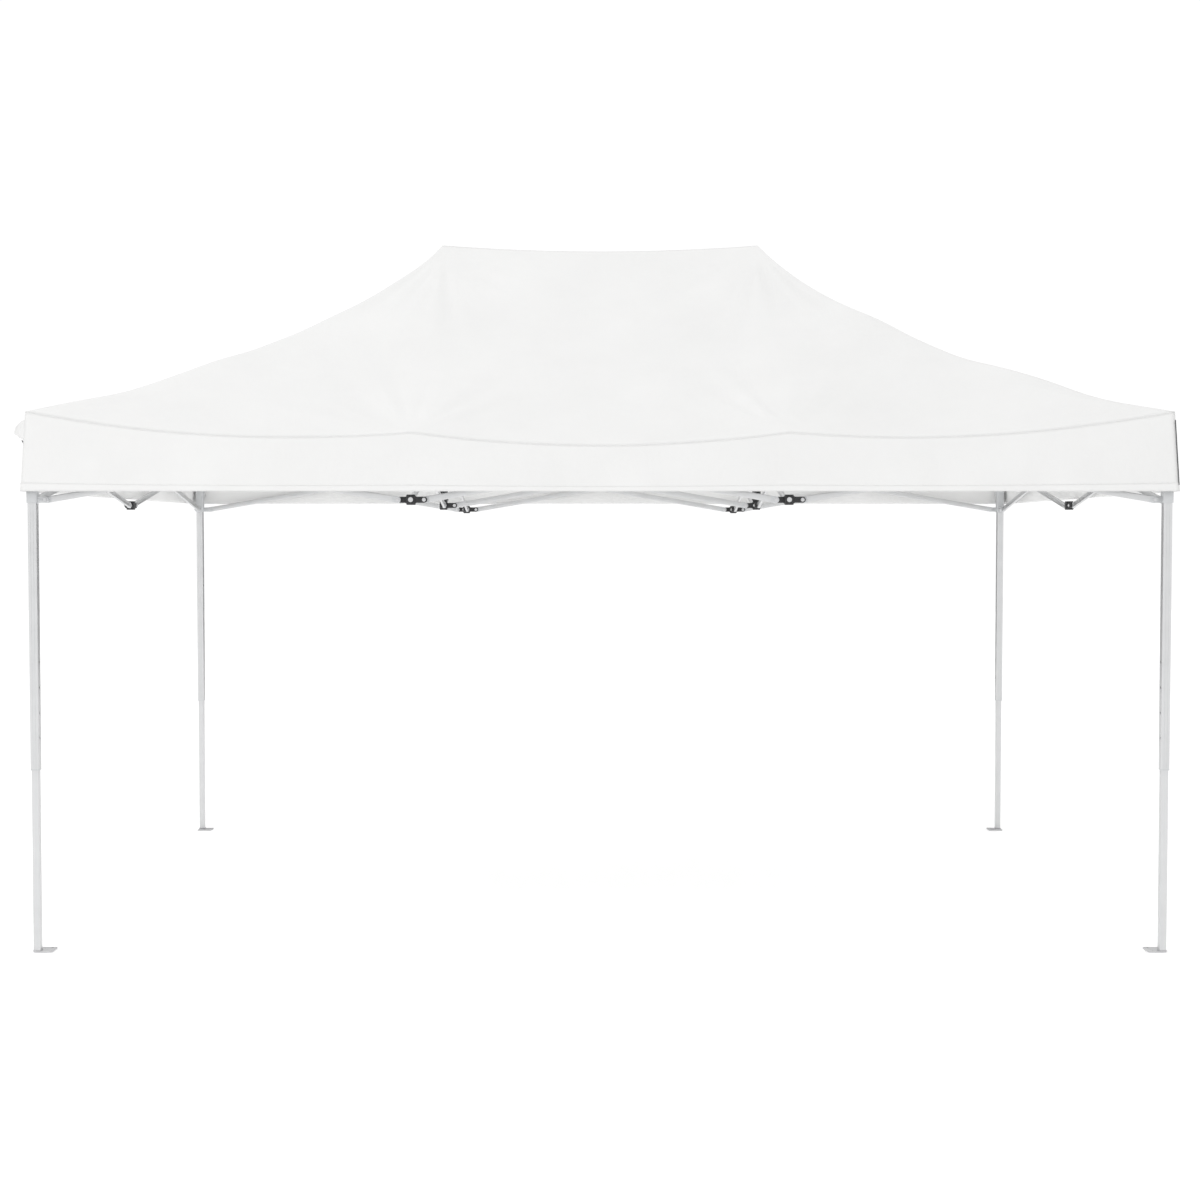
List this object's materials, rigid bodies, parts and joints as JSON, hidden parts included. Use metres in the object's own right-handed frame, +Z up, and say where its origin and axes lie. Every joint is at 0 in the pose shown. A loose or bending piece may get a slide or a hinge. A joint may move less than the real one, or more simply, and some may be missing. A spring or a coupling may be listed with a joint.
{
  "type": "pop up canopy",
  "caption": "Folding shelter with a white two-peak cloth roof and straight valance on an aluminium scissor-truss frame with telescopic legs",
  "frame": {"origin": "on the ground, under the middle of the canopy", "axes": "+Z up, front towards -Y, +X to the right along the 4.5 m side"},
  "size_m": [4.504, 3.026, 3],
  "materials": {
    "leg_aluminium": "natural anodised, square drawn tube",
    "bar_aluminium": "natural anodised, flat-oval bar",
    "mast_aluminium": "natural anodised round tube",
    "joint_plastic": "moulded glass-filled nylon, fine grain",
    "roof_cloth": "white coated polyester weave",
    "rivet_steel": "zinc-plated rivets, buttons and rings",
    "strap_webbing": "white touch-and-close tape and edge binding"
  },
  "bodies": {
    "left_upper_hub": {"left_mast_guide_hub": "joint_plastic", "roof_cover": "roof_cloth", "valance": "roof_cloth"},
    "ridge_bar_a": {"ridge_bar_a": "bar_aluminium"},
    "left_cross_front_bar_b": {"left_cross_front_bar_b": "bar_aluminium"},
    "left_cross_back_bar_a": {"left_cross_back_bar_a": "bar_aluminium"},
    "right_mast": {"right_mast": "mast_aluminium"},
    "ridge_bar_b": {"ridge_bar_b": "bar_aluminium"},
    "front_left_joint_lower": {"front_left_joint_lower": "joint_plastic"},
    "left_cross_front_bar_a": {"left_cross_front_bar_a": "bar_aluminium"},
    "back_left_joint_lower": {"back_left_joint_lower": "joint_plastic"},
    "left_cross_back_bar_b": {"left_cross_back_bar_b": "bar_aluminium"},
    "right_cross_front_bar_a": {"right_cross_front_bar_a": "bar_aluminium"},
    "right_cross_back_bar_b": {"right_cross_back_bar_b": "bar_aluminium"},
    "left_mast": {"left_mast": "mast_aluminium"},
    "right_mast_guide_hub": {"right_mast_guide_hub": "joint_plastic"},
    "front_left_bar_a": {"front_left_bar_a": "bar_aluminium"},
    "front_middle_bar_b": {"front_middle_bar_b": "bar_aluminium"},
    "front_left_joint_upper": {"front_left_joint_upper": "joint_plastic"},
    "back_left_bar_a": {"back_left_bar_a": "bar_aluminium"},
    "back_middle_bar_b": {"back_middle_bar_b": "bar_aluminium"},
    "back_left_joint_upper": {"back_left_joint_upper": "joint_plastic"},
    "front_right_joint_upper": {"front_right_joint_upper": "joint_plastic"},
    "right_cross_front_bar_b": {"right_cross_front_bar_b": "bar_aluminium"},
    "back_right_joint_upper": {"back_right_joint_upper": "joint_plastic"},
    "right_cross_back_bar_a": {"right_cross_back_bar_a": "bar_aluminium"},
    "front_left_leg_outer": {"front_left_leg_outer": "leg_aluminium"},
    "front_left_bar_b": {"front_left_bar_b": "bar_aluminium"},
    "front_middle_bar_a": {"front_middle_bar_a": "bar_aluminium"},
    "back_left_leg_outer": {"back_left_leg_outer": "leg_aluminium"},
    "back_left_bar_b": {"back_left_bar_b": "bar_aluminium"},
    "back_middle_bar_a": {"back_middle_bar_a": "bar_aluminium"},
    "front_right_bar_a": {"front_right_bar_a": "bar_aluminium"},
    "front_right_joint_lower": {"front_right_joint_lower": "joint_plastic"},
    "back_right_bar_a": {"back_right_bar_a": "bar_aluminium"},
    "back_right_joint_lower": {"back_right_joint_lower": "joint_plastic"},
    "left_side_front_bar_a": {"left_side_front_bar_a": "bar_aluminium"},
    "front_left_slider": {"front_left_slider": "joint_plastic"},
    "left_side_back_bar_b": {"left_side_back_bar_b": "bar_aluminium"},
    "back_left_slider": {"back_left_slider": "joint_plastic"},
    "front_right_slider": {"front_right_slider": "joint_plastic"},
    "front_right_bar_b": {"front_right_bar_b": "bar_aluminium"},
    "back_right_slider": {"back_right_slider": "joint_plastic"},
    "back_right_bar_b": {"back_right_bar_b": "bar_aluminium"},
    "left_joint_lower": {"left_joint_lower": "joint_plastic"},
    "left_side_front_bar_b": {"left_side_front_bar_b": "bar_aluminium"},
    "left_side_back_bar_a": {"left_side_back_bar_a": "bar_aluminium"},
    "right_side_front_bar_b": {"right_side_front_bar_b": "bar_aluminium"},
    "front_right_leg_outer": {"front_right_leg_outer": "leg_aluminium"},
    "right_side_back_bar_a": {"right_side_back_bar_a": "bar_aluminium"},
    "back_right_leg_outer": {"back_right_leg_outer": "leg_aluminium"},
    "left_joint_upper": {"left_joint_upper": "joint_plastic"},
    "right_joint_upper": {"right_joint_upper": "joint_plastic"},
    "right_side_front_bar_a": {"right_side_front_bar_a": "bar_aluminium"},
    "right_side_back_bar_b": {"right_side_back_bar_b": "bar_aluminium"},
    "right_joint_lower": {"right_joint_lower": "joint_plastic"},
    "front_left_leg_inner": {"front_left_leg_inner": "leg_aluminium"},
    "front_right_leg_inner": {"front_right_leg_inner": "leg_aluminium"},
    "back_left_leg_inner": {"back_left_leg_inner": "leg_aluminium"},
    "back_right_leg_inner": {"back_right_leg_inner": "leg_aluminium"}
  },
  "joints": [
    {"name": "frame_fold", "type": "hinge", "parent": "left_upper_hub", "child": "ridge_bar_a", "pos_m": [-0.687, 0, 2.015], "axis": [0, 1, 0], "range_deg": [0, 78], "deforming": ["roof_cover", "valance"]},
    {"name": "left_cross_front_bar_b_turn", "type": "hinge", "parent": "left_upper_hub", "child": "left_cross_front_bar_b", "pos_m": [-0.739, -0.052, 2.015], "axis": [-1, 0, 0], "range_deg": [-78, 0]},
    {"name": "left_cross_back_bar_a_turn", "type": "hinge", "parent": "left_upper_hub", "child": "left_cross_back_bar_a", "pos_m": [-0.739, 0.052, 2.015], "axis": [-1, 0, 0], "range_deg": [0, 78]},
    {"name": "right_mast_turn", "type": "hinge", "parent": "ridge_bar_a", "child": "right_mast", "pos_m": [0.687, 0, 1.78], "axis": [0, 1, 0], "range_deg": [-78, 0]},
    {"name": "ridge_bar_b_turn", "type": "hinge", "parent": "ridge_bar_a", "child": "ridge_bar_b", "pos_m": [0, 0, 1.8975], "axis": [0, 1, 0], "range_deg": [-156, 0]},
    {"name": "front_left_joint_lower_turn", "type": "hinge", "parent": "left_cross_front_bar_b", "child": "front_left_joint_lower", "pos_m": [-0.739, -1.426, 1.78], "axis": [-1, 0, 0], "range_deg": [0, 78]},
    {"name": "left_cross_front_bar_a_turn", "type": "hinge", "parent": "left_cross_front_bar_b", "child": "left_cross_front_bar_a", "pos_m": [-0.739, -0.739, 1.8975], "axis": [-1, 0, 0], "range_deg": [0, 156]},
    {"name": "back_left_joint_lower_turn", "type": "hinge", "parent": "left_cross_back_bar_a", "child": "back_left_joint_lower", "pos_m": [-0.739, 1.426, 1.78], "axis": [-1, 0, 0], "range_deg": [-78, 0]},
    {"name": "left_cross_back_bar_b_turn", "type": "hinge", "parent": "left_cross_back_bar_a", "child": "left_cross_back_bar_b", "pos_m": [-0.739, 0.739, 1.8975], "axis": [-1, 0, 0], "range_deg": [-156, 0]},
    {"name": "right_cross_front_bar_a_turn", "type": "hinge", "parent": "right_mast", "child": "right_cross_front_bar_a", "pos_m": [0.739, -0.052, 1.78], "axis": [-1, 0, 0], "range_deg": [0, 78]},
    {"name": "right_cross_back_bar_b_turn", "type": "hinge", "parent": "right_mast", "child": "right_cross_back_bar_b", "pos_m": [0.739, 0.052, 1.78], "axis": [-1, 0, 0], "range_deg": [-78, 0]},
    {"name": "left_mast_turn", "type": "hinge", "parent": "ridge_bar_b", "child": "left_mast", "pos_m": [-0.687, 0, 1.78], "axis": [0, 1, 0], "range_deg": [0, 78]},
    {"name": "right_mast_guide_hub_turn", "type": "hinge", "parent": "ridge_bar_b", "child": "right_mast_guide_hub", "pos_m": [0.687, 0, 2.015], "axis": [0, 1, 0], "range_deg": [0, 78]},
    {"name": "front_left_bar_a_turn", "type": "hinge", "parent": "front_left_joint_lower", "child": "front_left_bar_a", "pos_m": [-0.791, -1.478, 1.78], "axis": [0, 1, 0], "range_deg": [0, 78]},
    {"name": "front_middle_bar_b_turn", "type": "hinge", "parent": "front_left_joint_lower", "child": "front_middle_bar_b", "pos_m": [-0.687, -1.478, 1.78], "axis": [0, 1, 0], "range_deg": [-78, 0]},
    {"name": "front_left_joint_upper_turn", "type": "hinge", "parent": "left_cross_front_bar_a", "child": "front_left_joint_upper", "pos_m": [-0.739, -1.426, 2.015], "axis": [-1, 0, 0], "range_deg": [-78, 0]},
    {"name": "back_left_bar_a_turn", "type": "hinge", "parent": "back_left_joint_lower", "child": "back_left_bar_a", "pos_m": [-0.791, 1.478, 1.78], "axis": [0, 1, 0], "range_deg": [0, 78]},
    {"name": "back_middle_bar_b_turn", "type": "hinge", "parent": "back_left_joint_lower", "child": "back_middle_bar_b", "pos_m": [-0.687, 1.478, 1.78], "axis": [0, 1, 0], "range_deg": [-78, 0]},
    {"name": "back_left_joint_upper_turn", "type": "hinge", "parent": "left_cross_back_bar_b", "child": "back_left_joint_upper", "pos_m": [-0.739, 1.426, 2.015], "axis": [-1, 0, 0], "range_deg": [0, 78]},
    {"name": "front_right_joint_upper_turn", "type": "hinge", "parent": "right_cross_front_bar_a", "child": "front_right_joint_upper", "pos_m": [0.739, -1.426, 2.015], "axis": [-1, 0, 0], "range_deg": [-78, 0]},
    {"name": "right_cross_front_bar_b_turn", "type": "hinge", "parent": "right_cross_front_bar_a", "child": "right_cross_front_bar_b", "pos_m": [0.739, -0.739, 1.8975], "axis": [-1, 0, 0], "range_deg": [-156, 0]},
    {"name": "back_right_joint_upper_turn", "type": "hinge", "parent": "right_cross_back_bar_b", "child": "back_right_joint_upper", "pos_m": [0.739, 1.426, 2.015], "axis": [-1, 0, 0], "range_deg": [0, 78]},
    {"name": "right_cross_back_bar_a_turn", "type": "hinge", "parent": "right_cross_back_bar_b", "child": "right_cross_back_bar_a", "pos_m": [0.739, 0.739, 1.8975], "axis": [-1, 0, 0], "range_deg": [0, 156]},
    {"name": "front_left_leg_outer_turn", "type": "hinge", "parent": "front_left_bar_a", "child": "front_left_leg_outer", "pos_m": [-2.165, -1.478, 2.015], "axis": [0, 1, 0], "range_deg": [-78, 0]},
    {"name": "front_left_bar_b_turn", "type": "hinge", "parent": "front_left_bar_a", "child": "front_left_bar_b", "pos_m": [-1.478, -1.478, 1.8975], "axis": [0, 1, 0], "range_deg": [-156, 0]},
    {"name": "front_middle_bar_a_turn", "type": "hinge", "parent": "front_middle_bar_b", "child": "front_middle_bar_a", "pos_m": [0, -1.478, 1.8975], "axis": [0, 1, 0], "range_deg": [0, 156]},
    {"name": "back_left_leg_outer_turn", "type": "hinge", "parent": "back_left_bar_a", "child": "back_left_leg_outer", "pos_m": [-2.165, 1.478, 2.015], "axis": [0, 1, 0], "range_deg": [-78, 0]},
    {"name": "back_left_bar_b_turn", "type": "hinge", "parent": "back_left_bar_a", "child": "back_left_bar_b", "pos_m": [-1.478, 1.478, 1.8975], "axis": [0, 1, 0], "range_deg": [-156, 0]},
    {"name": "back_middle_bar_a_turn", "type": "hinge", "parent": "back_middle_bar_b", "child": "back_middle_bar_a", "pos_m": [0, 1.478, 1.8975], "axis": [0, 1, 0], "range_deg": [0, 156]},
    {"name": "front_right_bar_a_turn", "type": "hinge", "parent": "front_right_joint_upper", "child": "front_right_bar_a", "pos_m": [0.791, -1.478, 2.015], "axis": [0, 1, 0], "range_deg": [0, 78]},
    {"name": "front_right_joint_lower_turn", "type": "hinge", "parent": "right_cross_front_bar_b", "child": "front_right_joint_lower", "pos_m": [0.739, -1.426, 1.78], "axis": [-1, 0, 0], "range_deg": [0, 78]},
    {"name": "back_right_bar_a_turn", "type": "hinge", "parent": "back_right_joint_upper", "child": "back_right_bar_a", "pos_m": [0.791, 1.478, 2.015], "axis": [0, 1, 0], "range_deg": [0, 78]},
    {"name": "back_right_joint_lower_turn", "type": "hinge", "parent": "right_cross_back_bar_a", "child": "back_right_joint_lower", "pos_m": [0.739, 1.426, 1.78], "axis": [-1, 0, 0], "range_deg": [-78, 0]},
    {"name": "left_side_front_bar_a_turn", "type": "hinge", "parent": "front_left_leg_outer", "child": "left_side_front_bar_a", "pos_m": [-2.217, -1.426, 2.015], "axis": [-1, 0, 0], "range_deg": [0, 78]},
    {"name": "front_left_slider_turn", "type": "hinge", "parent": "front_left_bar_b", "child": "front_left_slider", "pos_m": [-2.165, -1.478, 1.78], "axis": [0, 1, 0], "range_deg": [0, 78]},
    {"name": "left_side_back_bar_b_turn", "type": "hinge", "parent": "back_left_leg_outer", "child": "left_side_back_bar_b", "pos_m": [-2.217, 1.426, 2.015], "axis": [-1, 0, 0], "range_deg": [-78, 0]},
    {"name": "back_left_slider_turn", "type": "hinge", "parent": "back_left_bar_b", "child": "back_left_slider", "pos_m": [-2.165, 1.478, 1.78], "axis": [0, 1, 0], "range_deg": [0, 78]},
    {"name": "front_right_slider_turn", "type": "hinge", "parent": "front_right_bar_a", "child": "front_right_slider", "pos_m": [2.165, -1.478, 1.78], "axis": [0, 1, 0], "range_deg": [-78, 0]},
    {"name": "front_right_bar_b_turn", "type": "hinge", "parent": "front_right_bar_a", "child": "front_right_bar_b", "pos_m": [1.478, -1.478, 1.8975], "axis": [0, 1, 0], "range_deg": [-156, 0]},
    {"name": "back_right_slider_turn", "type": "hinge", "parent": "back_right_bar_a", "child": "back_right_slider", "pos_m": [2.165, 1.478, 1.78], "axis": [0, 1, 0], "range_deg": [-78, 0]},
    {"name": "back_right_bar_b_turn", "type": "hinge", "parent": "back_right_bar_a", "child": "back_right_bar_b", "pos_m": [1.478, 1.478, 1.8975], "axis": [0, 1, 0], "range_deg": [-156, 0]},
    {"name": "left_joint_lower_turn", "type": "hinge", "parent": "left_side_front_bar_a", "child": "left_joint_lower", "pos_m": [-2.217, -0.052, 1.78], "axis": [-1, 0, 0], "range_deg": [-78, 0]},
    {"name": "left_side_front_bar_b_turn", "type": "hinge", "parent": "left_side_front_bar_a", "child": "left_side_front_bar_b", "pos_m": [-2.217, -0.739, 1.8975], "axis": [-1, 0, 0], "range_deg": [-156, 0]},
    {"name": "left_side_back_bar_a_turn", "type": "hinge", "parent": "left_side_back_bar_b", "child": "left_side_back_bar_a", "pos_m": [-2.217, 0.739, 1.8975], "axis": [-1, 0, 0], "range_deg": [0, 156]},
    {"name": "right_side_front_bar_b_turn", "type": "hinge", "parent": "front_right_slider", "child": "right_side_front_bar_b", "pos_m": [2.217, -1.426, 1.78], "axis": [-1, 0, 0], "range_deg": [-78, 0]},
    {"name": "front_right_leg_outer_turn", "type": "hinge", "parent": "front_right_bar_b", "child": "front_right_leg_outer", "pos_m": [2.165, -1.478, 2.015], "axis": [0, 1, 0], "range_deg": [0, 78]},
    {"name": "right_side_back_bar_a_turn", "type": "hinge", "parent": "back_right_slider", "child": "right_side_back_bar_a", "pos_m": [2.217, 1.426, 1.78], "axis": [-1, 0, 0], "range_deg": [0, 78]},
    {"name": "back_right_leg_outer_turn", "type": "hinge", "parent": "back_right_bar_b", "child": "back_right_leg_outer", "pos_m": [2.165, 1.478, 2.015], "axis": [0, 1, 0], "range_deg": [0, 78]},
    {"name": "left_joint_upper_turn", "type": "hinge", "parent": "left_side_front_bar_b", "child": "left_joint_upper", "pos_m": [-2.217, -0.052, 2.015], "axis": [-1, 0, 0], "range_deg": [0, 78]},
    {"name": "right_joint_upper_turn", "type": "hinge", "parent": "right_side_front_bar_b", "child": "right_joint_upper", "pos_m": [2.217, -0.052, 2.015], "axis": [-1, 0, 0], "range_deg": [0, 78]},
    {"name": "right_side_front_bar_a_turn", "type": "hinge", "parent": "right_side_front_bar_b", "child": "right_side_front_bar_a", "pos_m": [2.217, -0.739, 1.8975], "axis": [-1, 0, 0], "range_deg": [0, 156]},
    {"name": "right_side_back_bar_b_turn", "type": "hinge", "parent": "right_side_back_bar_a", "child": "right_side_back_bar_b", "pos_m": [2.217, 0.739, 1.8975], "axis": [-1, 0, 0], "range_deg": [-156, 0]},
    {"name": "right_joint_lower_turn", "type": "hinge", "parent": "right_side_front_bar_a", "child": "right_joint_lower", "pos_m": [2.217, -0.052, 1.78], "axis": [-1, 0, 0], "range_deg": [-78, 0]},
    {"name": "front_left_leg_slide", "type": "slide", "parent": "front_left_leg_outer", "child": "front_left_leg_inner", "axis": [0, 0, 1], "range_m": [0, 0.57]},
    {"name": "front_right_leg_slide", "type": "slide", "parent": "front_right_leg_outer", "child": "front_right_leg_inner", "axis": [0, 0, 1], "range_m": [0, 0.57]},
    {"name": "back_left_leg_slide", "type": "slide", "parent": "back_left_leg_outer", "child": "back_left_leg_inner", "axis": [0, 0, 1], "range_m": [0, 0.57]},
    {"name": "back_right_leg_slide", "type": "slide", "parent": "back_right_leg_outer", "child": "back_right_leg_inner", "axis": [0, 0, 1], "range_m": [0, 0.57]}
  ],
  "couplings": [
    {"joint": "left_cross_front_bar_b_turn", "follows": "frame_fold", "ratio": -1},
    {"joint": "left_cross_back_bar_a_turn", "follows": "frame_fold", "ratio": 1},
    {"joint": "right_mast_turn", "follows": "frame_fold", "ratio": -1},
    {"joint": "ridge_bar_b_turn", "follows": "frame_fold", "ratio": -2},
    {"joint": "front_left_joint_lower_turn", "follows": "frame_fold", "ratio": 1},
    {"joint": "left_cross_front_bar_a_turn", "follows": "frame_fold", "ratio": 2},
    {"joint": "back_left_joint_lower_turn", "follows": "frame_fold", "ratio": -1},
    {"joint": "left_cross_back_bar_b_turn", "follows": "frame_fold", "ratio": -2},
    {"joint": "right_cross_front_bar_a_turn", "follows": "frame_fold", "ratio": 1},
    {"joint": "right_cross_back_bar_b_turn", "follows": "frame_fold", "ratio": -1},
    {"joint": "left_mast_turn", "follows": "frame_fold", "ratio": 1},
    {"joint": "right_mast_guide_hub_turn", "follows": "frame_fold", "ratio": 1},
    {"joint": "front_left_bar_a_turn", "follows": "frame_fold", "ratio": 1},
    {"joint": "front_middle_bar_b_turn", "follows": "frame_fold", "ratio": -1},
    {"joint": "front_left_joint_upper_turn", "follows": "frame_fold", "ratio": -1},
    {"joint": "back_left_bar_a_turn", "follows": "frame_fold", "ratio": 1},
    {"joint": "back_middle_bar_b_turn", "follows": "frame_fold", "ratio": -1},
    {"joint": "back_left_joint_upper_turn", "follows": "frame_fold", "ratio": 1},
    {"joint": "front_right_joint_upper_turn", "follows": "frame_fold", "ratio": -1},
    {"joint": "right_cross_front_bar_b_turn", "follows": "frame_fold", "ratio": -2},
    {"joint": "back_right_joint_upper_turn", "follows": "frame_fold", "ratio": 1},
    {"joint": "right_cross_back_bar_a_turn", "follows": "frame_fold", "ratio": 2},
    {"joint": "front_left_leg_outer_turn", "follows": "frame_fold", "ratio": -1},
    {"joint": "front_left_bar_b_turn", "follows": "frame_fold", "ratio": -2},
    {"joint": "front_middle_bar_a_turn", "follows": "frame_fold", "ratio": 2},
    {"joint": "back_left_leg_outer_turn", "follows": "frame_fold", "ratio": -1},
    {"joint": "back_left_bar_b_turn", "follows": "frame_fold", "ratio": -2},
    {"joint": "back_middle_bar_a_turn", "follows": "frame_fold", "ratio": 2},
    {"joint": "front_right_bar_a_turn", "follows": "frame_fold", "ratio": 1},
    {"joint": "front_right_joint_lower_turn", "follows": "frame_fold", "ratio": 1},
    {"joint": "back_right_bar_a_turn", "follows": "frame_fold", "ratio": 1},
    {"joint": "back_right_joint_lower_turn", "follows": "frame_fold", "ratio": -1},
    {"joint": "left_side_front_bar_a_turn", "follows": "frame_fold", "ratio": 1},
    {"joint": "front_left_slider_turn", "follows": "frame_fold", "ratio": 1},
    {"joint": "left_side_back_bar_b_turn", "follows": "frame_fold", "ratio": -1},
    {"joint": "back_left_slider_turn", "follows": "frame_fold", "ratio": 1},
    {"joint": "front_right_slider_turn", "follows": "frame_fold", "ratio": -1},
    {"joint": "front_right_bar_b_turn", "follows": "frame_fold", "ratio": -2},
    {"joint": "back_right_slider_turn", "follows": "frame_fold", "ratio": -1},
    {"joint": "back_right_bar_b_turn", "follows": "frame_fold", "ratio": -2},
    {"joint": "left_joint_lower_turn", "follows": "frame_fold", "ratio": -1},
    {"joint": "left_side_front_bar_b_turn", "follows": "frame_fold", "ratio": -2},
    {"joint": "left_side_back_bar_a_turn", "follows": "frame_fold", "ratio": 2},
    {"joint": "right_side_front_bar_b_turn", "follows": "frame_fold", "ratio": -1},
    {"joint": "front_right_leg_outer_turn", "follows": "frame_fold", "ratio": 1},
    {"joint": "right_side_back_bar_a_turn", "follows": "frame_fold", "ratio": 1},
    {"joint": "back_right_leg_outer_turn", "follows": "frame_fold", "ratio": 1},
    {"joint": "left_joint_upper_turn", "follows": "frame_fold", "ratio": 1},
    {"joint": "right_joint_upper_turn", "follows": "frame_fold", "ratio": 1},
    {"joint": "right_side_front_bar_a_turn", "follows": "frame_fold", "ratio": 2},
    {"joint": "right_side_back_bar_b_turn", "follows": "frame_fold", "ratio": -2},
    {"joint": "right_joint_lower_turn", "follows": "frame_fold", "ratio": -1}
  ]
}
